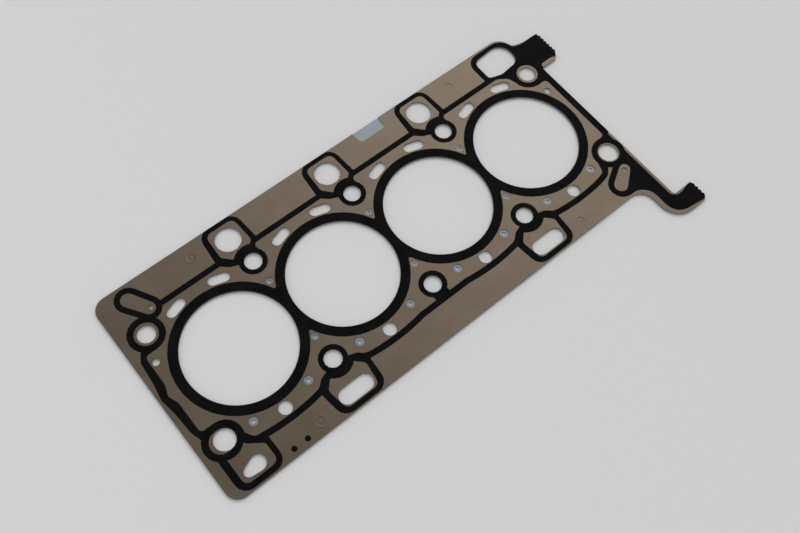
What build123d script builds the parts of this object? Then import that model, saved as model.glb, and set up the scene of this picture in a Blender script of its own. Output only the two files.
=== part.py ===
from build123d import *
from math import acos, atan2, ceil, copysign, cos, hypot, pi, radians, remainder, sin, tan
import os

# Head gasket of a four-cylinder engine with a chain case at one end.
#
# Two sheets lie on each other. The upper one is thin spring steel. A bead pressed round
# each bore stands down from it and rests on the thicker carrier sheet, and four clinches
# near the edges hold the two together. Black elastomer is printed on the upper sheet: one
# joined set of rings round the bores, and a track that runs round the bolts, the oil
# passages and the water space, and out along the two arms that frame the chain case.
#
# The bores lie along X and the chain case is at +X. The origin is on the underside, in
# the middle of the bore row. All sizes are in millimetres.

# Driving dimensions
BORE_PITCH = 79.0
BORE_RADIUS = 36.25
BOLT_ROW = 41.0  # from the bore row to each row of head bolts
END_BOLT_X = 157.5
BOLT_HOLE_RADIUS = 5.9
DOWEL_HOLE_RADIUS = 6.9

CARRIER_THICKNESS = 0.70
BEAD_HEIGHT = 0.25
SHEET_THICKNESS = 0.30
PRINT_THICKNESS = 0.05
CHORD_ERROR = 0.16  # small rounds are cut into chords this close to their curve

# Edges of the sheets
LEFT = -174.7
RIGHT = 169.7
TOP = 76.9
BOTTOM = -75.0
TAB_TOP = 63.2
TAB_BOTTOM = 38.0
TAB_END = 187.0
HOOK_TOP = -91.6
HOOK_BOTTOM = -107.2
HOOK_LEFT = 156.0
HOOK_END = 185.6
TOOTH_PITCH = 3.0
TOOTH_DEPTH = 1.0

# Notch in the upper sheet, which shows the carrier
NOTCH_LEFT = 29.1
NOTCH_RIGHT = 50.1
NOTCH_BOTTOM = 68.0

# Water and oil passages
WATER_SLOT_LENGTH = 14.6
WATER_SLOT_RADIUS = 3.4
WATER_SLOT_TILT = radians(17)
WATER_SLOT_REACH = 15.7  # from a bore's middle to each of its slots, along the row
WATER_SLOT_ROW = 44.4
WATER_HOLE_RADIUS = 4.5
WATER_HOLE_ROW = -47.6
METERING_REACH = 20.0
METERING_ROW = -42.5
GAP_METERING_YS = (23.8, -23.0)
OIL_HOLE_RADIUS = 8.7
OIL_HOLE_ROW = 63.0
OIL_SLOT_RADIUS = 5.5
OIL_SLOT_ROW = -64.5

# Beads and clinches, which stand down from the upper sheet to the carrier
BEAD_INNER = 36.9
BEAD_CREST = 38.1
BEAD_OUTER = 39.3
BEAD_SIDES = 32
CLINCH_XS = (-108.0, 105.8)
CLINCH_Y = 67.0
CLINCH_RADIUS = 3.4
CLINCH_FLOOR_RADIUS = 2.4
CLINCH_DEPTH = 0.12
CLINCH_FOOT_RADIUS = 2.0
CLINCH_SIDES = 10

# Printed rings and tracks
BORE_PRINT_INNER = 36.4
BORE_PRINT_OUTER = 42.7
BORE_PRINT_SIDES = 54
VALLEY_WEB = [(-1.3, 18.5), (-0.4, 17.9), (0.4, 17.9), (1.3, 18.5), (0.0, 15.0)]
BOLT_PRINT_OUTER = 9.3
END_PRINT_OUTER = 11.8
END_PRINT_INNER = 7.6
UPPER_TRACK_Y = 52.6
UPPER_TRACK_WIDTH = 3.9
LOWER_TRACK_Y = -52.8
LOWER_TRACK_SAG = 1.6
LOWER_TRACK_START = -141.0
SAG_REACH = 21.0  # the lower track sags over this far to each side of a bore
LOWER_TRACK_WIDTH = 4.1
UPPER_WINDOW_STOP = 12.4  # the print round a bolt widens to this radius under its loop
LOWER_WINDOW_STOP = 12.7
MARK_RADIUS = 1.9

# Heights
CARRIER_TOP = CARRIER_THICKNESS
SHEET_BOTTOM = CARRIER_TOP + BEAD_HEIGHT
SHEET_TOP = SHEET_BOTTOM + SHEET_THICKNESS

# Places worked out from the driving dimensions
BORE_XS = [BORE_PITCH * (number - 1.5) for number in range(4)]
GAP_XS = [BORE_PITCH * (number - 1) for number in range(3)]  # between neighbouring bores
OUTER_GAP_XS = [GAP_XS[0], GAP_XS[-1]]
UPPER_BOLTS = [(x, BOLT_ROW) for x in GAP_XS]
LOWER_BOLTS = [(x, -BOLT_ROW) for x in GAP_XS]
END_BOLTS = [(-END_BOLT_X, BOLT_ROW), (END_BOLT_X, BOLT_ROW)]
DOWEL_BOLTS = [(-END_BOLT_X, -BOLT_ROW), (END_BOLT_X, -BOLT_ROW)]
CLINCHES = [(x, y) for x in CLINCH_XS for y in (-CLINCH_Y, CLINCH_Y)]
END_PRINT_EDGE = BOLT_ROW - END_PRINT_OUTER  # where an end bolt's ring comes nearest the row


def chords(turn, radius):
    """The number of straight chords that keep an arc within CHORD_ERROR of its curve."""
    return max(1, ceil(abs(turn) / (2 * acos(1 - CHORD_ERROR / radius))))


def arc_points(centre, radius, start, turn):
    """Points along an arc from the angle start, through the angle turn, in radians."""
    steps = chords(turn, radius)
    angles = [start + turn * step / steps for step in range(steps + 1)]
    return [(centre[0] + radius * cos(angle), centre[1] + radius * sin(angle)) for angle in angles]


def corner_points(before, corner, after):
    """Points that round one corner (x, y, radius) of an outline between its neighbours."""
    x, y, radius = corner
    if not radius:
        return [(x, y)]
    arriving = atan2(y - before[1], x - before[0])
    turn = remainder(atan2(after[1] - y, after[0] - x) - arriving, 2 * pi)
    side = copysign(pi / 2, turn)
    reach = radius * tan(abs(turn) / 2)
    centre_x = x - reach * cos(arriving) + radius * cos(arriving + side)
    centre_y = y - reach * sin(arriving) + radius * sin(arriving + side)
    return arc_points((centre_x, centre_y), radius, arriving - side, turn)


def fill(points, mode=Mode.ADD):
    """Add or cut the closed outline through the points."""
    with BuildLine() as outline:
        Polyline(*points, close=True)
    make_face(outline.edges(), mode=mode)


def rounded(*corners, shift=0.0, mode=Mode.ADD):
    """Add or cut an outline of straight edges; each corner is (x, y, radius)."""
    placed = [(x + shift, y, radius) for x, y, radius in corners]
    around = zip(placed[-1:] + placed[:-1], placed, placed[1:] + placed[:1])
    fill([point for three in around for point in corner_points(*three)], mode=mode)


def round_hole(radius, *places, mode=Mode.SUBTRACT):
    """Cut or add rounds, as polygons that stay within CHORD_ERROR of the circle."""
    with Locations(*places):
        RegularPolygon(radius, chords(2 * pi, radius), mode=mode)


def true_round(radius, *places, mode=Mode.SUBTRACT):
    """Cut or add exact circles."""
    with Locations(*places):
        Circle(radius, mode=mode)


def capsule(start, start_radius, end, end_radius, mode=Mode.ADD):
    """Add or cut two rounds and the straight tangents between them."""
    length = hypot(end[0] - start[0], end[1] - start[1])
    heading = atan2(end[1] - start[1], end[0] - start[0])
    lean = acos((start_radius - end_radius) / length)
    back = arc_points(start, start_radius, heading + lean, 2 * (pi - lean))
    front = arc_points(end, end_radius, heading - lean, 2 * lean)
    fill(back + front, mode=mode)


def serration(x, first, count):
    """Corners of a saw-tooth end, running down from the trough at height first."""
    teeth = [(x, first, 0)]
    for number in range(count):
        tip = first - (number + 0.5) * TOOTH_PITCH
        teeth.append((x + TOOTH_DEPTH, tip, 0))
        teeth.append((x, tip - TOOTH_PITCH / 2, 0))
    return teeth


def sheet_outline():
    """The outer edge of both sheets: a plate with a tab and a hook at its right end."""
    rounded(
        (LEFT, BOTTOM, 8.5),
        (LEFT, TOP, 9.0),
        (162.8, TOP, 11.0),
        (165.2, 65.8, 3.0),
        (174.5, TAB_TOP, 8.0),
        (TAB_END, TAB_TOP, 1.0),
        *serration(TAB_END, 61.0, 6),
        (183.3, TAB_BOTTOM, 2.0),
        (RIGHT, TAB_BOTTOM, 0.8),
        (RIGHT, HOOK_TOP, 2.0),
        (HOOK_END, HOOK_TOP, 1.0),
        *serration(HOOK_END, -93.0, 4),
        (183.3, HOOK_BOTTOM, 1.0),
        (HOOK_LEFT, HOOK_BOTTOM, 15.0),
        (HOOK_LEFT, BOTTOM, 10.7),
    )


def cut_end_oil_passage():
    """Cut the long oil passage at the chain end."""
    rounded(
        (133.4, 54.6, 2.5),
        (133.4, 71.2, 5.0),
        (150.0, 72.6, 0.0),
        (161.0, 72.2, 9.5),
        (161.0, 53.6, 7.0),
        (143.0, 51.6, 4.0),
        mode=Mode.SUBTRACT,
    )


def cut_water_slots():
    """Cut two slots above each bore, tilted to follow it."""
    run = WATER_SLOT_LENGTH / 2 - WATER_SLOT_RADIUS
    across = run * cos(WATER_SLOT_TILT)
    for bore_x in BORE_XS:
        for side in (-1, 1):
            x = bore_x + side * WATER_SLOT_REACH
            rise = -side * run * sin(WATER_SLOT_TILT)
            start = (x - across, WATER_SLOT_ROW - rise)
            end = (x + across, WATER_SLOT_ROW + rise)
            capsule(start, WATER_SLOT_RADIUS, end, WATER_SLOT_RADIUS, mode=Mode.SUBTRACT)


def cut_passages():
    """Cut the bores, and the oil and water passages that both sheets have at one size."""
    true_round(BORE_RADIUS, *[(x, 0) for x in BORE_XS])
    cut_water_slots()
    round_hole(WATER_HOLE_RADIUS, *[(x - 0.6, WATER_HOLE_ROW) for x in BORE_XS])
    # Oil passages along the upper edge, then along the lower edge
    round_hole(OIL_HOLE_RADIUS, *[(x - 3.8, OIL_HOLE_ROW) for x in GAP_XS])
    cut_end_oil_passage()
    for x in OUTER_GAP_XS:
        ends = [(x - 7.4, OIL_SLOT_ROW), (x + 6.2, OIL_SLOT_ROW)]
        capsule(ends[0], OIL_SLOT_RADIUS, ends[1], OIL_SLOT_RADIUS, mode=Mode.SUBTRACT)
    capsule((-150.3, -63.65), 5.1, (-157.2, -64.6), 3.4, mode=Mode.SUBTRACT)
    # Vents beside the end bores and in the end loops of the track
    round_hole(2.5, (-162.6, 22.6), (159.4, 21.8))
    round_hole(1.6, (-145.7, 53.9), (156.7, -57.2))


def cut_metering(radius, gap_radius):
    """Cut the small water holes below the bores and in the gaps between them."""
    round_hole(radius, *[(x + side * METERING_REACH, METERING_ROW) for x in BORE_XS for side in (-1, 1)])
    round_hole(gap_radius, *[(x, y) for x in GAP_XS for y in GAP_METERING_YS])


# The carrier sheet locates the gasket, so its bolt and dowel holes are true rounds
with BuildPart() as carrier_sheet:
    with BuildSketch():
        sheet_outline()
        true_round(BOLT_HOLE_RADIUS, *UPPER_BOLTS, *LOWER_BOLTS, *END_BOLTS)
        true_round(DOWEL_HOLE_RADIUS, *DOWEL_BOLTS)
        cut_passages()
        cut_metering(1.35, 1.1)
    extrude(amount=CARRIER_THICKNESS)

# Beads under the upper sheet, one round each bore: an outer flank less an inner flank
with BuildPart() as beads:
    for x in BORE_XS:
        for top_radius, mode in ((BEAD_OUTER, Mode.ADD), (BEAD_INNER, Mode.SUBTRACT)):
            with BuildSketch(Plane((x, 0, CARRIER_TOP))):
                RegularPolygon(BEAD_CREST, BEAD_SIDES)
            with BuildSketch(Plane((x, 0, SHEET_BOTTOM))):
                RegularPolygon(top_radius, BEAD_SIDES)
            loft(ruled=True, mode=mode)

# Clinches: below each dish in the upper sheet, a foot stands on the carrier
with BuildPart() as clinch_feet:
    for x, y in CLINCHES:
        with BuildSketch(Plane((x, y, CARRIER_TOP))):
            RegularPolygon(CLINCH_FOOT_RADIUS, CLINCH_SIDES)
        with BuildSketch(Plane((x, y, SHEET_BOTTOM))):
            RegularPolygon(CLINCH_RADIUS, CLINCH_SIDES)
        loft(ruled=True)

with BuildPart() as clinch_dishes:
    for x, y in CLINCHES:
        with BuildSketch(Plane((x, y, SHEET_TOP - CLINCH_DEPTH))):
            RegularPolygon(CLINCH_FLOOR_RADIUS, CLINCH_SIDES)
        with BuildSketch(Plane((x, y, SHEET_TOP))):
            RegularPolygon(CLINCH_RADIUS, CLINCH_SIDES)
        loft(ruled=True)

# Upper sheet, with wider metering holes than the carrier
with BuildPart() as upper_sheet:
    with BuildSketch(Plane.XY.offset(SHEET_BOTTOM)):
        sheet_outline()
        rounded(
            (NOTCH_LEFT - 1.8, TOP + 5, 0),
            (NOTCH_LEFT, NOTCH_BOTTOM, 1.8),
            (NOTCH_RIGHT, NOTCH_BOTTOM, 1.8),
            (NOTCH_RIGHT + 0.4, TOP + 5, 0),
            mode=Mode.SUBTRACT,
        )
        round_hole(BOLT_HOLE_RADIUS, *UPPER_BOLTS, *LOWER_BOLTS, *END_BOLTS)
        round_hole(DOWEL_HOLE_RADIUS, *DOWEL_BOLTS)
        cut_passages()
        cut_metering(3.0, 2.4)
    extrude(amount=SHEET_THICKNESS)
    add(beads.part)
    add(clinch_feet.part)
    add(clinch_dishes.part, mode=Mode.SUBTRACT)


def valley_webs():
    """Fill the sharp bottoms of the valleys between the rings of neighbouring bores."""
    for x in GAP_XS:
        for side in (-1, 1):
            rounded(*[(across, side * y, 0) for across, y in VALLEY_WEB], shift=x)


# Printed rings round the bores, joined where they meet
with BuildPart() as bore_print:
    with BuildSketch(Plane.XY.offset(SHEET_TOP)):
        with Locations(*[(x, 0) for x in BORE_XS]):
            RegularPolygon(BORE_PRINT_OUTER, BORE_PRINT_SIDES)
        valley_webs()
        with Locations(*[(x, 0) for x in BORE_XS]):
            RegularPolygon(BORE_PRINT_INNER, BORE_PRINT_SIDES, mode=Mode.SUBTRACT)
    extrude(amount=PRINT_THICKNESS)

# Printed track. Corners of its loops are measured from the bolt that each loop stands by.
UPPER_LOOP = [(-19.6, UPPER_TRACK_Y, 0), (-17.4, 77.2, 8), (9.9, 77.2, 8), (11.7, UPPER_TRACK_Y, 0)]
UPPER_SADDLE = [
    (-18.5, 54.0, 0),
    (-18.5, 50.7, 0),
    (-14.0, 46.6, 2),
    (-8.0, 44.0, 0),
    (7.6, 46.0, 0),
    (7.2, 48.6, 0),
    (8.6, 50.7, 1),
    (12.0, 50.7, 0),
    (12.0, 54.0, 0),
]
UPPER_WINDOW = [
    (-14.8, 55.4, 2),
    (-13.9, 73.6, 4),
    (6.9, 73.6, 4),
    (7.9, 54.5, 2),
    (3.0, 50.5, 0),
    (-9.5, 49.5, 0),
]
LOWER_LOOP = [(-19.2, LOWER_TRACK_Y, 0), (-16.8, -74.3, 8), (16.3, -74.3, 8), (17.9, LOWER_TRACK_Y, 0)]
LOWER_SADDLE = [
    (-22.0, -53.0, 0),
    (-22.0, -51.3, 0),
    (-18.5, -50.6, 4),
    (-16.5, -49.6, 0),
    (-13.5, -46.8, 3),
    (-8.0, -45.0, 0),
    (8.0, -45.0, 0),
    (13.5, -46.8, 3),
    (16.5, -49.6, 0),
    (18.5, -50.6, 4),
    (22.0, -51.3, 0),
    (22.0, -53.0, 0),
]
CORNER_WINDOW = [
    (-4.8, -50.0, 0),
    (-4.8, -70.2, 4),
    (18.2, -70.2, 4),
    (18.1, -57.0, 2),
    (9.0, -50.4, 1),
    (6.5, -45.0, 0),
]
LOWER_WINDOW = [
    (-14.4, -55.2, 3),
    (-12.3, -70.8, 4),
    (11.9, -70.8, 4),
    (14.0, -55.2, 3),
    (9.0, -50.2, 0),
    (-9.3, -50.2, 0),
]


def window(corners, x, y, radius):
    """A bare window in a loop, cut back by the print round the bolt at (x, y)."""
    with BuildSketch(mode=Mode.PRIVATE) as shape:
        rounded(*corners, shift=x)
        round_hole(radius, (x, y))
    return shape.sketch


def upper_track():
    """The straight track along the upper side, with a loop round each oil passage."""
    with Locations((-8.0, UPPER_TRACK_Y)):
        Rectangle(284.0, UPPER_TRACK_WIDTH)
    for x in GAP_XS:
        rounded(*UPPER_LOOP, shift=x)
        rounded(*UPPER_SADDLE, shift=x)


def lower_track():
    """The track along the lower side, which sags below each bore, with its loops."""
    with BuildLine() as path:
        start = (LOWER_TRACK_START, LOWER_TRACK_Y)
        for x in BORE_XS:
            low = (x, LOWER_TRACK_Y - LOWER_TRACK_SAG)
            sag = ThreePointArc((x - SAG_REACH, LOWER_TRACK_Y), low, (x + SAG_REACH, LOWER_TRACK_Y))
            if start[0] < x - SAG_REACH:
                Line(start, sag @ 0)
            start = (x + SAG_REACH, LOWER_TRACK_Y)
    trace(path.edges(), line_width=LOWER_TRACK_WIDTH)
    for x in OUTER_GAP_XS:
        rounded(*LOWER_LOOP, shift=x)
        rounded(*LOWER_SADDLE, shift=x)
    with Locations((0, -BOLT_ROW - 8.0)):
        Rectangle(11.2, 8.0)


def left_track():
    """The track up the left edge, and the loops at the two left corners."""
    rounded(
        (-166.6, 33.0, 1),
        (-170.0, 27.5, 3),
        (-171.2, 12.0, 10),
        (-173.0, 0.5, 3),
        (-171.3, -10.0, 10),
        (-170.3, -26.5, 3),
        (-168.2, -33.0, 0),
        (-158.5, -41.0, 0),
        (-158.5, -END_PRINT_EDGE, 0),
        (-165.9, -END_PRINT_EDGE, 2.5),
        (-166.0, -6.5, 4),
        (-168.6, 0.5, 1),
        (-166.0, 7.5, 4),
        (-165.9, END_PRINT_EDGE, 2.5),
        (-157.3, END_PRINT_EDGE, 0),
        (-157.3, 41.0, 0),
    )
    capsule((-154.4, 66.5), 8.5, (-146.8, 54.2), 8.0)
    rounded(
        (-168.0, -45.0, 0),
        (-168.0, -74.0, 8),
        (-136.8, -74.0, 7.5),
        (-136.8, -51.2, 0),
        (-143.0, -50.2, 3),
        (-146.0, -45.0, 0),
        (-152.0, -41.0, 0),
    )


def right_track():
    """The track down the right edge, and the solid print on the tab and the hook."""
    rounded(
        (129.3, UPPER_TRACK_Y, 0),
        (129.3, 75.4, 9),
        (163.0, 75.6, 11),
        (165.0, 65.0, 3),
        (171.0, TAB_TOP, 0),
        (190.0, TAB_TOP, 0),
        (190.0, 40.0, 0),
        (184.5, 40.0, 0),
        (181.0, 41.3, 3),
        (171.0, 41.3, 3),
        (170.0, 36.0, 0),
        (158.0, 36.0, 0),
        (145.7, 41.0, 0),
        (143.6, 46.4, 4),
        (137.0, 50.65, 5),
        (133.0, 50.65, 0),
    )
    rounded(
        (157.0, 41.0, 0),
        (157.0, END_PRINT_EDGE, 0),
        (164.7, END_PRINT_EDGE, 2.5),
        (164.7, -END_PRINT_EDGE, 2.5),
        (157.0, -END_PRINT_EDGE, 0),
        (157.0, -41.0, 0),
        (167.8, -41.0, 0),
        (168.0, -30.0, 0),
        (171.0, -27.5, 0),
        (171.0, 41.0, 0),
    )
    rounded(
        (167.8, -41.0, 0),
        (167.8, -90.2, 3),
        (171.5, -93.1, 2),
        (176.5, -93.1, 0),
        (183.0, -91.3, 0),
        (190.0, -91.3, 0),
        (190.0, -106.6, 0),
        (184.5, -106.6, 0),
        (159.7, -103.0, 11),
        (159.7, -73.7, 11),
        (146.5, -73.7, 0),
        (152.0, -51.5, 0),
        (157.4, -41.0, 0),
    )
    capsule((146.5, -64.5), 9.2, (157.3, -57.0), 8.0)
    rounded(
        (137.0, -51.2, 0),
        (143.4, -49.6, 3),
        (146.0, -42.0, 0),
        (157.4, -41.0, 0),
        (144.6, -53.6, 3),
        (139.5, -54.85, 0),
        (137.0, -55.2, 0),
    )


def bare_windows():
    """Cut the bare windows out of the loops, and clear the bolt and dowel holes."""
    for x in GAP_XS:
        add(window(UPPER_WINDOW, x, BOLT_ROW, UPPER_WINDOW_STOP), mode=Mode.SUBTRACT)
    for x in OUTER_GAP_XS:
        add(window(LOWER_WINDOW, x, -BOLT_ROW, LOWER_WINDOW_STOP), mode=Mode.SUBTRACT)
    add(window(CORNER_WINDOW, -158.5, -BOLT_ROW, END_PRINT_OUTER), mode=Mode.SUBTRACT)
    capsule((-154.4, 66.5), 4.6, (-146.8, 54.2), 4.1, mode=Mode.SUBTRACT)
    capsule((146.1, -64.4), 4.7, (157.3, -57.0), 3.7, mode=Mode.SUBTRACT)
    cut_end_oil_passage()
    round_hole(BOLT_HOLE_RADIUS, *UPPER_BOLTS, *LOWER_BOLTS)
    round_hole(END_PRINT_INNER, *END_BOLTS, DOWEL_BOLTS[1])
    capsule((-159.9, -41.0), 7.2, (-157.8, -41.0), 7.2, mode=Mode.SUBTRACT)


with BuildPart() as track_print:
    with BuildSketch(Plane.XY.offset(SHEET_TOP)) as track:
        upper_track()
        lower_track()
        left_track()
        right_track()
        round_hole(BOLT_PRINT_OUTER, *UPPER_BOLTS, *LOWER_BOLTS, mode=Mode.ADD)
        round_hole(END_PRINT_OUTER, *END_BOLTS, DOWEL_BOLTS[1], mode=Mode.ADD)
        capsule((-159.7, -41.0), END_PRINT_OUTER, (-157.4, -41.0), END_PRINT_OUTER)
        bare_windows()
        with BuildSketch(mode=Mode.INTERSECT):
            sheet_outline()
    extrude(amount=PRINT_THICKNESS)

# Two printed dots that mark the thickness class
with BuildPart() as thickness_marks:
    with BuildSketch(Plane.XY.offset(SHEET_TOP)):
        round_hole(MARK_RADIUS, (-129.6, -70.3), (-119.9, -70.3), mode=Mode.ADD)
    extrude(amount=PRINT_THICKNESS)

os.makedirs("parts", exist_ok=True)
for piece, name in (
    (carrier_sheet, "carrier_sheet"),
    (upper_sheet, "upper_sheet"),
    (bore_print, "bore_print"),
    (track_print, "track_print"),
    (thickness_marks, "thickness_marks"),
):
    piece.part.label = name
    export_step(piece.part, f"parts/{name}.step")
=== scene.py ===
"""Dresses a cylinder head gasket: two sheets of steel, black elastomer print and clinches."""

from __future__ import annotations

import logging
from dataclasses import dataclass, field
from enum import Enum

import bpy
from mathutils import Matrix, Vector

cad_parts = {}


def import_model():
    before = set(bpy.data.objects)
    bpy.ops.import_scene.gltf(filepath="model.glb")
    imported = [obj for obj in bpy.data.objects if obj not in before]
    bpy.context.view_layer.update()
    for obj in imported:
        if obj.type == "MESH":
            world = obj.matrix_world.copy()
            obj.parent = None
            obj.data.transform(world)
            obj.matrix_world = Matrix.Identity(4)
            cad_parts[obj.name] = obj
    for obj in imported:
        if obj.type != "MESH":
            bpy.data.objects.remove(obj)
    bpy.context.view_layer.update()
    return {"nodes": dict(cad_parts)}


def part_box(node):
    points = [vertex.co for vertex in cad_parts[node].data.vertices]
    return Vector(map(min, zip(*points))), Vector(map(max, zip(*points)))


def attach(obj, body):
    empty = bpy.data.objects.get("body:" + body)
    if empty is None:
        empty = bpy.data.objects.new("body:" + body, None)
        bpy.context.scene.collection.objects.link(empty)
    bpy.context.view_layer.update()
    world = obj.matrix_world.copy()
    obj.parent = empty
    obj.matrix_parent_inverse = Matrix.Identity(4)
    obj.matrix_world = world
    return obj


LOG = logging.getLogger("head_gasket")
MM = 0.001
NOISE_MEAN = 0.5
WHITE = (1.0, 1.0, 1.0, 1.0)
# Where a Mix node has its sockets for colour, whose names its other sockets share
MIX_SHARE, MIX_UNDER, MIX_OVER, MIX_RESULT = 0, 6, 7, 2
Colour = tuple[float, float, float]
Band = tuple[float, float]


def srgb(red: int, green: int, blue: int) -> Colour:
    """Turns 0-255 display values into the linear colour that shows as them.

    Args:
        red: Display red.
        green: Display green.
        blue: Display blue.

    Returns:
        The linear colour.
    """
    shares = (value / 255 for value in (red, green, blue))
    return tuple(s / 12.92 if s <= 0.04045 else ((s + 0.055) / 1.055) ** 2.4 for s in shares)


# Shader and geometry node trees ---------------------------------------------------------


class Sum(Enum):
    """What a Math node does with its inputs."""

    ADD = "ADD"
    SUBTRACT = "SUBTRACT"
    MULTIPLY = "MULTIPLY"
    ABSOLUTE = "ABSOLUTE"


class Wire:
    """A node's output that takes part in sums, each of which adds a Math node."""

    def __init__(self, bench: Bench, socket: bpy.types.NodeSocket) -> None:
        """Wraps a socket of the bench's tree."""
        self.bench = bench
        self.socket = socket

    def maths(self, operation: Sum, *terms: Wire | float) -> Wire:
        """Adds a Math node.

        Args:
            operation: What the node does.
            terms: Its inputs, in order.

        Returns:
            The node's value.
        """
        settings = {"operation": operation.value}
        node = self.bench.node("ShaderNodeMath", settings, dict(enumerate(terms)))
        return self.bench.wire(node, 0)

    def __add__(self, other: Wire | float) -> Wire:
        """Self plus other."""
        return self.maths(Sum.ADD, self, other)

    def __radd__(self, other: float) -> Wire:
        """Other plus self."""
        return self.maths(Sum.ADD, other, self)

    def __sub__(self, other: Wire | float) -> Wire:
        """Self less other."""
        return self.maths(Sum.SUBTRACT, self, other)

    def __rsub__(self, other: float) -> Wire:
        """Other less self."""
        return self.maths(Sum.SUBTRACT, other, self)

    def __mul__(self, other: Wire | float) -> Wire:
        """Self times other."""
        return self.maths(Sum.MULTIPLY, self, other)

    def __rmul__(self, other: float) -> Wire:
        """Other times self."""
        return self.maths(Sum.MULTIPLY, other, self)

    def __abs__(self) -> Wire:
        """Self without its sign."""
        return self.maths(Sum.ABSOLUTE, self)

    def above(self, low: float, high: float) -> Wire:
        """A mask that rises smoothly from 0 at low to 1 at high.

        Args:
            low: Where the mask is still 0.
            high: Where the mask has reached 1.

        Returns:
            The mask.
        """
        settings = {"interpolation_type": "SMOOTHSTEP"}
        values = {"Value": self, "From Min": low, "From Max": high}
        return self.bench.wire(self.bench.node("ShaderNodeMapRange", settings, values), 0)


class Bench:
    """Builds one node tree."""

    def __init__(self, tree: bpy.types.NodeTree) -> None:
        """Clears the tree."""
        self.tree = tree
        self.tree.nodes.clear()

    def node(
        self, kind: str, settings: dict | None = None, values: dict | None = None
    ) -> bpy.types.Node:
        """Adds a node.

        Args:
            kind: The node's type.
            settings: Attributes, which are set first.
            values: Numbers, tuples, wires or sockets for its inputs, by name or place.

        Returns:
            The node.
        """
        made = self.tree.nodes.new(kind)
        for name, setting in (settings or {}).items():
            setattr(made, name, setting)
        for key, value in (values or {}).items():
            source = value.socket if isinstance(value, Wire) else value
            if isinstance(source, bpy.types.NodeSocket):
                self.tree.links.new(source, made.inputs[key])
            else:
                made.inputs[key].default_value = source
        return made

    def wire(self, node: bpy.types.Node, output: str | int) -> Wire:
        """One output of a node, ready for sums."""
        return Wire(self, node.outputs[output])


@dataclass(frozen=True)
class Grain:
    """How fine a noise is.

    Its size is in millimetres along X, Y and Z, and its detail counts the finer layers.
    """

    size: tuple[float, float, float]
    detail: float


class Paint(Bench):
    """The node tree of one material, with one Principled shader."""

    def __init__(self, name: str, **constants: float) -> None:
        """Makes the material.

        Args:
            name: The material's name.
            constants: The shader's inputs that are the same all over, spaces as underscores.
        """
        self.material = bpy.data.materials.new(name)
        self.material.use_nodes = True
        super().__init__(self.material.node_tree)
        values = {key.replace("_", " "): value for key, value in constants.items()}
        self.shader = self.node("ShaderNodeBsdfPrincipled", None, values)
        self.node("ShaderNodeOutputMaterial", None, {"Surface": self.shader.outputs[0]})
        self.place = self.node("ShaderNodeTexCoord")

    def walls(self, steep: float, level: float) -> Wire:
        """A mask of the walls, from the upright part of the object's surface direction.

        Args:
            steep: The upright part up to which a face is all wall.
            level: The upright part from which a face is no wall.

        Returns:
            The mask.
        """
        values = {"Vector": self.place.outputs["Normal"]}
        upright = abs(self.wire(self.node("ShaderNodeSeparateXYZ", None, values), "Z"))
        return 1 - upright.above(steep, level)

    def noise(self, grain: Grain) -> Wire:
        """Noise over the object's coordinates.

        Args:
            grain: How fine it is.

        Returns:
            The noise, about NOISE_MEAN on average.
        """
        scale = tuple(1 / (size * MM) for size in grain.size)
        spread = {"Vector": self.place.outputs["Object"], "Scale": scale}
        mapping = self.node("ShaderNodeMapping", None, spread)
        values = {"Vector": mapping.outputs[0], "Scale": 1.0, "Detail": grain.detail}
        return self.wire(self.node("ShaderNodeTexNoise", None, values), 0)

    def mix(self, share: Wire, under: Wire | Colour, over: Wire | Colour) -> Wire:
        """Lays one colour over another.

        Args:
            share: How much of the upper colour shows.
            under: The lower colour.
            over: The upper colour.

        Returns:
            The mixed colour.
        """
        under, over = ((*c, 1.0) if isinstance(c, tuple) else c for c in (under, over))
        values = {MIX_SHARE: share, MIX_UNDER: under, MIX_OVER: over}
        return self.wire(self.node("ShaderNodeMix", {"data_type": "RGBA"}, values), MIX_RESULT)

    def feed(self, **wires: Wire) -> None:
        """Links wires to the shader's inputs, spaces as underscores."""
        for key, wire in wires.items():
            self.tree.links.new(wire.socket, self.shader.inputs[key.replace("_", " ")])

    def bump(self, height: Wire, depth: float) -> Wire:
        """The shader's Normal, from a relief of 0 to 1 and its full depth in millimetres."""
        values = {"Height": height, "Distance": depth * MM, "Strength": 1.0}
        return self.wire(self.node("ShaderNodeBump", None, values), 0)


# Finishes -------------------------------------------------------------------------------


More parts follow.
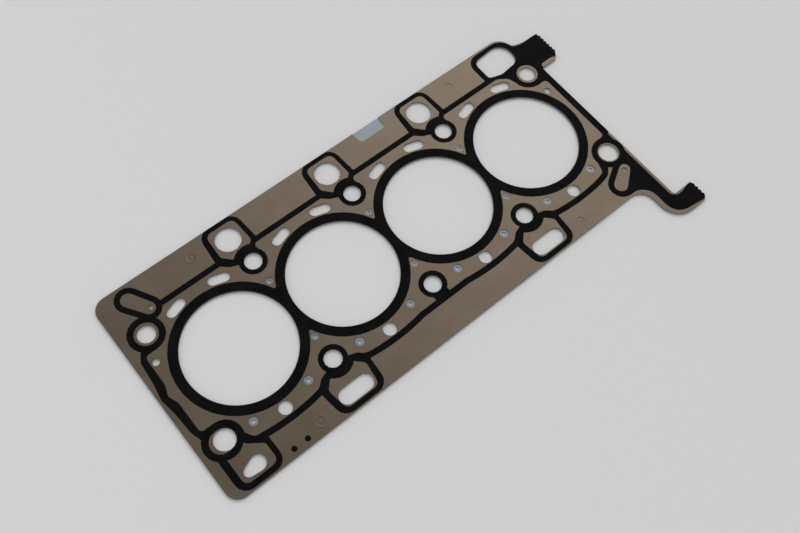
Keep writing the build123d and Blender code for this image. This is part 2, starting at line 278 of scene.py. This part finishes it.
@dataclass(frozen=True)
class SheetSteel:
    """Rolled sheet with a thin coat, and bright, torn metal where a punch has sheared it.

    The tone of the coat is a sum of clouds, rolling lines and pores, in that order.
    """

    name: str
    dark: Colour
    light: Colour
    warm: Colour
    sheared: Colour
    metallic: float
    roughness: float
    clouds: Grain = Grain((34, 21, 30), 2)
    rolling: Grain = Grain((26, 0.22, 0.22), 4)
    pores: Grain = Grain((0.35, 0.35, 0.35), 3)
    tone_shares: tuple[float, float, float] = (0.55, 0.30, 0.15)
    tone_band: Band = (0.36, 0.64)
    blots: Grain = Grain((11, 8, 10), 2)
    blot_band: Band = (0.42, 0.66)
    blot_share: float = 0.8
    tears: Grain = Grain((0.12, 0.12, 0.5), 3)
    tear_band: Band = (0.35, 0.7)
    tear_share: float = 0.55
    tear_tone: float = 0.45
    wall_band: Band = (0.35, 0.8)
    wall_metallic: float = 0.85
    wall_roughness: float = 0.06
    cloud_roughness: float = 0.10
    rolling_roughness: float = 0.14
    rolling_relief: float = 0.6
    pore_relief: float = 0.4
    relief_depth: float = 0.004

    def material(self) -> bpy.types.Material:
        """Makes the finish.

        Returns:
            The material.
        """
        paint = Paint(self.name)
        wall = paint.walls(*self.wall_band)
        clouds = paint.noise(self.clouds)
        rolling = paint.noise(self.rolling)
        pores = paint.noise(self.pores)
        of_clouds, of_rolling, of_pores = self.tone_shares
        tone = of_clouds * clouds + of_rolling * rolling + of_pores * pores
        coat = paint.mix(tone.above(*self.tone_band), self.dark, self.light)
        # The coat is thinner and browner in blots
        blots = paint.noise(self.blots).above(*self.blot_band)
        face = paint.mix(self.blot_share * blots, coat, self.warm)
        # Cut walls are bare, and darker where the punch has torn them
        torn = paint.noise(self.tears).above(*self.tear_band)
        tear_colour = tuple(self.tear_tone * c for c in self.sheared)
        cut = paint.mix(self.tear_share * torn, self.sheared, tear_colour)
        relief = self.rolling_relief * rolling + self.pore_relief * pores
        paint.feed(
            Base_Color=paint.mix(wall, face, cut),
            Roughness=self.roughness
            + self.cloud_roughness * (clouds - NOISE_MEAN)
            + self.rolling_roughness * (rolling - NOISE_MEAN)
            + self.wall_roughness * wall,
            Metallic=self.metallic + (self.wall_metallic - self.metallic) * wall,
            Normal=paint.bump(relief, self.relief_depth),
        )
        return paint.material


@dataclass(frozen=True)
class Elastomer:
    """Printed rubber: matt black, with the faint weave of the printing screen.

    Its tone is a sum of clouds and the screen's weave, in that order.
    """

    name: str
    dark: Colour
    light: Colour
    roughness: float
    specular: float = 0.04
    clouds: Grain = Grain((9, 9, 9), 3)
    screen: Grain = Grain((0.16, 0.16, 0.16), 1)
    tone_shares: tuple[float, float] = (0.7, 0.3)
    tone_band: Band = (0.38, 0.66)
    cloud_roughness: float = 0.12
    screen_roughness: float = 0.10
    relief_depth: float = 0.006

    def material(self) -> bpy.types.Material:
        """Makes the finish.

        Returns:
            The material.
        """
        paint = Paint(self.name, Metallic=0.0, Specular_IOR_Level=self.specular)
        clouds = paint.noise(self.clouds)
        screen = paint.noise(self.screen)
        of_clouds, of_screen = self.tone_shares
        tone = of_clouds * clouds + of_screen * screen
        paint.feed(
            Base_Color=paint.mix(tone.above(*self.tone_band), self.dark, self.light),
            Roughness=self.roughness
            + self.cloud_roughness * (clouds - NOISE_MEAN)
            + self.screen_roughness * (screen - NOISE_MEAN),
            Normal=paint.bump(screen, self.relief_depth),
        )
        return paint.material


@dataclass(frozen=True)
class Paper:
    """The pale sheet that the gasket lies on."""

    name: str
    tone: Colour
    roughness: float = 0.9
    specular: float = 0.1
    fibres: Grain = Grain((3, 3, 3), 4)
    fibre_band: Band = (0.3, 0.7)
    fibre_tone: float = 0.985

    def material(self) -> bpy.types.Material:
        """Makes the finish.

        Returns:
            The material.
        """
        paint = Paint(self.name, Roughness=self.roughness, Specular_IOR_Level=self.specular)
        fibres = paint.noise(self.fibres).above(*self.fibre_band)
        darker = tuple(self.fibre_tone * c for c in self.tone)
        paint.feed(Base_Color=paint.mix(fibres, self.tone, darker))
        return paint.material


COATED_STEEL = SheetSteel(
    "coated_spring_steel",
    dark=srgb(90, 81, 69),
    light=srgb(100, 90, 77),
    warm=srgb(97, 82, 70),
    sheared=srgb(150, 147, 143),
    metallic=0.8,
    roughness=0.42,
)
CARRIER_STEEL = SheetSteel(
    "carrier_steel",
    dark=srgb(120, 127, 134),
    light=srgb(130, 138, 145),
    warm=srgb(124, 134, 144),
    sheared=srgb(140, 142, 145),
    metallic=0.35,
    roughness=0.50,
)
BLACK_PRINT = Elastomer(
    "black_elastomer", dark=srgb(7, 7, 8), light=srgb(15, 15, 16), roughness=0.7
)
PALE_PAPER = Paper("pale_paper", tone=srgb(215, 215, 216))


# Sub-assemblies -------------------------------------------------------------------------


def dress(node: bpy.types.Object, material: bpy.types.Material) -> None:
    """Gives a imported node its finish.

    Args:
        node: The node's object.
        material: The finish.
    """
    if not node.material_slots:
        node.data.materials.append(None)
    for slot in node.material_slots:
        slot.link = "OBJECT"
        slot.material = material
    LOG.info("dressed %s in %s", node.name, material.name)


@dataclass
class Sheets:
    """The two steel sheets."""

    nodes: dict[str, bpy.types.Object]
    finishes: dict[str, SheetSteel] = field(
        default_factory=lambda: {"carrier_sheet": CARRIER_STEEL, "upper_sheet": COATED_STEEL}
    )

    def build(self) -> None:
        """Dresses both sheets."""
        for name, finish in self.finishes.items():
            dress(self.nodes[name], finish.material())


@dataclass
class Print:
    """The printed elastomer: bore rings, track and thickness marks."""

    nodes: dict[str, bpy.types.Object]
    names: tuple[str, ...] = ("bore_print", "track_print", "thickness_marks")

    def build(self) -> None:
        """Dresses all that is printed with one finish."""
        material = BLACK_PRINT.material()
        for name in self.names:
            dress(self.nodes[name], material)


@dataclass
class Clinches:
    """What the clinching punch leaves at each dish: a thin rolled lip and a boss in its middle.

    Places and sizes are in millimetres. The lip is elliptical in section, with its upper half
    above the sheet. The boss is an ellipsoid, with its upper half above the dish's floor.
    """

    places: tuple[tuple[float, float], ...] = ((-108, 67), (105.8, 67), (-108, -67), (105.8, -67))
    sizes: dict[str, float] = field(
        default_factory=lambda: {
            "Lip radius": 3.35,
            "Lip half width": 0.48,
            "Lip height": 0.046,
            "Boss radius": 0.95,
            "Boss height": 0.11,
            "Dish depth": 0.12,
        }
    )
    lip_steps: int = 48
    section_steps: int = 10
    boss_segments: int = 24
    boss_rings: int = 12

    def seats(self, top: float) -> bpy.types.Mesh:
        """A mesh of loose points, one at each dish.

        Args:
            top: The height of the sheet's upper face, in metres.

        Returns:
            The mesh.
        """
        mesh = bpy.data.meshes.new("clinch_seats")
        mesh.from_pydata([(x * MM, y * MM, top) for x, y in self.places], [], [])
        return mesh

    @staticmethod
    def scaled(
        bench: Bench, form: bpy.types.Node, *factors: bpy.types.NodeSocket | float
    ) -> bpy.types.Node:
        """Scales a form of radius 1.

        Args:
            bench: The tree's bench.
            form: The node that makes the form.
            factors: Its scale along X, Y and Z.

        Returns:
            The node that scales it.
        """
        scale = bench.node("ShaderNodeCombineXYZ", None, dict(enumerate(factors)))
        values = {"Geometry": form.outputs[0], "Scale": scale.outputs[0]}
        return bench.node("GeometryNodeTransform", None, values)

    def lip(self, bench: Bench, sizes: bpy.types.NodeOutputs) -> bpy.types.Node:
        """Makes the lip round the edge of a dish.

        Args:
            bench: The tree's bench.
            sizes: The tree's inputs.

        Returns:
            The node that makes it.
        """
        values = {"Resolution": self.lip_steps, "Radius": sizes["Lip radius"]}
        path = bench.node("GeometryNodeCurvePrimitiveCircle", None, values)
        values = {"Resolution": self.section_steps, "Radius": 1.0}
        roll = bench.node("GeometryNodeCurvePrimitiveCircle", None, values)
        section = self.scaled(bench, roll, sizes["Lip half width"], sizes["Lip height"], 1.0)
        values = {"Curve": path.outputs[0], "Profile Curve": section.outputs[0]}
        return bench.node("GeometryNodeCurveToMesh", None, values)

    def boss(self, bench: Bench, sizes: bpy.types.NodeOutputs) -> bpy.types.Node:
        """Makes the boss on the floor of a dish.

        Args:
            bench: The tree's bench.
            sizes: The tree's inputs.

        Returns:
            The node that makes it.
        """
        values = {"Segments": self.boss_segments, "Rings": self.boss_rings, "Radius": 1.0}
        ball = bench.node("GeometryNodeMeshUVSphere", None, values)
        radius = sizes["Boss radius"]
        boss = self.scaled(bench, ball, radius, radius, sizes["Boss height"])
        floor = Wire(bench, sizes["Dish depth"]) * -1.0
        down = bench.node("ShaderNodeCombineXYZ", None, {"Z": floor})
        values = {"Geometry": boss.outputs[0], "Translation": down.outputs[0]}
        return bench.node("GeometryNodeTransform", None, values)

    def tree(self, material: bpy.types.Material) -> bpy.types.NodeTree:
        """Builds the nodes that put a lip and a boss at each point.

        Args:
            material: The finish of the sheet they are pressed in.

        Returns:
            The node tree, with its sizes as named inputs.
        """
        tree = bpy.data.node_groups.new("clinch_lips_and_bosses", "GeometryNodeTree")
        sockets = tree.interface
        sockets.new_socket("Geometry", in_out="INPUT", socket_type="NodeSocketGeometry")
        for name in self.sizes:
            sockets.new_socket(name, in_out="INPUT", socket_type="NodeSocketFloat")
        sockets.new_socket("Geometry", in_out="OUTPUT", socket_type="NodeSocketGeometry")
        bench = Bench(tree)
        sizes = bench.node("NodeGroupInput").outputs
        parts = self.lip(bench, sizes), self.boss(bench, sizes)
        mark = bench.node("GeometryNodeJoinGeometry")
        for part in parts:
            tree.links.new(part.outputs[0], mark.inputs[0])
        smooth = bench.node("GeometryNodeSetShadeSmooth", None, {"Geometry": mark.outputs[0]})
        values = {"Points": sizes["Geometry"], "Instance": smooth.outputs[0]}
        placed = bench.node("GeometryNodeInstanceOnPoints", None, values)
        values = {"Geometry": placed.outputs[0]}
        real = bench.node("GeometryNodeRealizeInstances", None, values)
        values = {"Geometry": real.outputs[0], "Material": material}
        finished = bench.node("GeometryNodeSetMaterial", None, values)
        bench.node("NodeGroupOutput", None, {"Geometry": finished.outputs[0]})
        return tree

    def build(self, material: bpy.types.Material, top: float) -> None:
        """Makes the lips and bosses as one plain mesh on the upper sheet.

        Args:
            material: The finish of the sheet they are pressed in.
            top: The height of the sheet's upper face, in metres.
        """
        piece = bpy.data.objects.new("clinch_marks", self.seats(top))
        bpy.context.scene.collection.objects.link(piece)
        tree = self.tree(material)
        modifier = piece.modifiers.new("clinch_lips_and_bosses", "NODES")
        modifier.node_group = tree
        for item in tree.interface.items_tree:
            if item.name in self.sizes:
                modifier[item.identifier] = self.sizes[item.name] * MM
        graph = bpy.context.evaluated_depsgraph_get()
        piece.data = bpy.data.meshes.new_from_object(piece.evaluated_get(graph))
        piece.modifiers.clear()
        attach(piece, "root")
        LOG.info("pressed %d clinch marks, %d faces", len(self.places), len(piece.data.polygons))


@dataclass(frozen=True)
class Lamp:
    """A square soft lamp that faces the gasket: place and side in metres, power in watts."""

    name: str
    place: tuple[float, float, float]
    side: float
    power: float

    def hang(self) -> None:
        """Hangs it."""
        lamp = bpy.data.lights.new(self.name, "AREA")
        lamp.shape, lamp.size, lamp.energy = "SQUARE", self.side, self.power
        holder = bpy.data.objects.new(self.name, lamp)
        holder.location = self.place
        holder.rotation_mode = "QUATERNION"
        holder.rotation_quaternion = (-Vector(self.place)).to_track_quat("-Z", "Y")
        bpy.context.scene.collection.objects.link(holder)


@dataclass
class Studio:
    """The pale floor, the room's light, a soft lamp and the camera.

    Lengths are in metres, and the lens and its sensor in millimetres. The ground and the
    ceiling are bands of the upright part of a direction, and the window is a band of how
    near a direction comes to its own.
    """

    floor_reach: float = 12.0
    floor_top: float = -0.0003
    camera_place: tuple[float, float, float] = (-0.172893, -0.178790, 0.505444)
    camera_look: tuple[float, float, float] = (0.29650863, 0.28854477, -0.91039802)
    camera_up: tuple[float, float, float] = (0.56303316, 0.71717293, 0.41067828)
    lens: float = 39.374
    sensor: float = 36.0
    nearest: float = 0.01
    farthest: float = 20.0
    wall_light: float = 1.6
    ceiling_band: Band = (0.10, 0.45)
    ceiling_light: float = 0.50
    ground_band: Band = (-0.30, 0.0)
    ground_light: float = 0.75
    window_way: tuple[float, float, float] = (0.57, 0.42, 0.70)
    window_band: Band = (0.86, 0.985)
    window_light: float = 2.75
    backdrop: float = 0.64
    lamp: Lamp = Lamp("lamp_left", place=(-1.10, 0.55, 0.80), side=0.9, power=1.8)

    def lay_floor(self) -> None:
        """Lays the floor just under the gasket."""
        reach = self.floor_reach
        mesh = bpy.data.meshes.new("floor")
        corners = [(-reach, -reach), (reach, -reach), (reach, reach), (-reach, reach)]
        mesh.from_pydata([(x, y, self.floor_top) for x, y in corners], [], [(0, 1, 2, 3)])
        mesh.materials.append(PALE_PAPER.material())
        floor = bpy.data.objects.new("floor", mesh)
        bpy.context.scene.collection.objects.link(floor)

    def light(self) -> None:
        """Sets a room with bright walls, a dimmer ceiling and ground, and one broad window.

        The camera sees an even backdrop instead of it.
        """
        world = bpy.data.worlds.new("pale_room")
        bpy.context.scene.world = world
        world.use_nodes = True
        bench = Bench(world.node_tree)
        way = bench.node("ShaderNodeTexCoord").outputs["Generated"]
        height = bench.wire(bench.node("ShaderNodeSeparateXYZ", None, {"Vector": way}), "Z")
        ground = 1 - height.above(*self.ground_band)
        ceiling = height.above(*self.ceiling_band)
        walls = 1 - ceiling - ground
        facing = {0: way, 1: tuple(Vector(self.window_way).normalized())}
        nearness = bench.node("ShaderNodeVectorMath", {"operation": "DOT_PRODUCT"}, facing)
        window = bench.wire(nearness, "Value").above(*self.window_band)
        room = (
            self.wall_light * walls
            + self.ceiling_light * ceiling
            + self.ground_light * ground
            + self.window_light * window
        )
        seen = bench.wire(bench.node("ShaderNodeLightPath"), "Is Camera Ray")
        values = {"Color": WHITE, "Strength": room + (self.backdrop - room) * seen}
        sky = bench.node("ShaderNodeBackground", None, values)
        bench.node("ShaderNodeOutputWorld", None, {"Surface": sky.outputs[0]})

    def set_camera(self) -> None:
        """Sets the camera above the near left corner."""
        data = bpy.data.cameras.new("camera")
        data.lens, data.sensor_width = self.lens, self.sensor
        data.clip_start, data.clip_end = self.nearest, self.farthest
        camera = bpy.data.objects.new("camera", data)
        look, up = Vector(self.camera_look), Vector(self.camera_up)
        turn = Matrix((look.cross(up), up, -look)).transposed()
        camera.matrix_world = Matrix.Translation(Vector(self.camera_place)) @ turn.to_4x4()
        bpy.context.scene.collection.objects.link(camera)
        bpy.context.scene.camera = camera

    def build(self) -> None:
        """Sets up all of it."""
        self.lay_floor()
        self.light()
        self.lamp.hang()
        self.set_camera()
        bpy.context.scene.view_settings.view_transform = "Standard"
        LOG.info("studio set")


def main() -> None:
    """Builds the gasket's looks and the studio."""
    logging.basicConfig(level=logging.INFO, format="%(name)s: %(message)s")
    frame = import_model()
    nodes = frame["nodes"]
    Sheets(nodes).build()
    Print(nodes).build()
    sheet_finish = nodes["upper_sheet"].material_slots[0].material
    Clinches().build(sheet_finish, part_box("upper_sheet")[1].z)
    Studio().build()


if __name__ == "__main__":
    main()
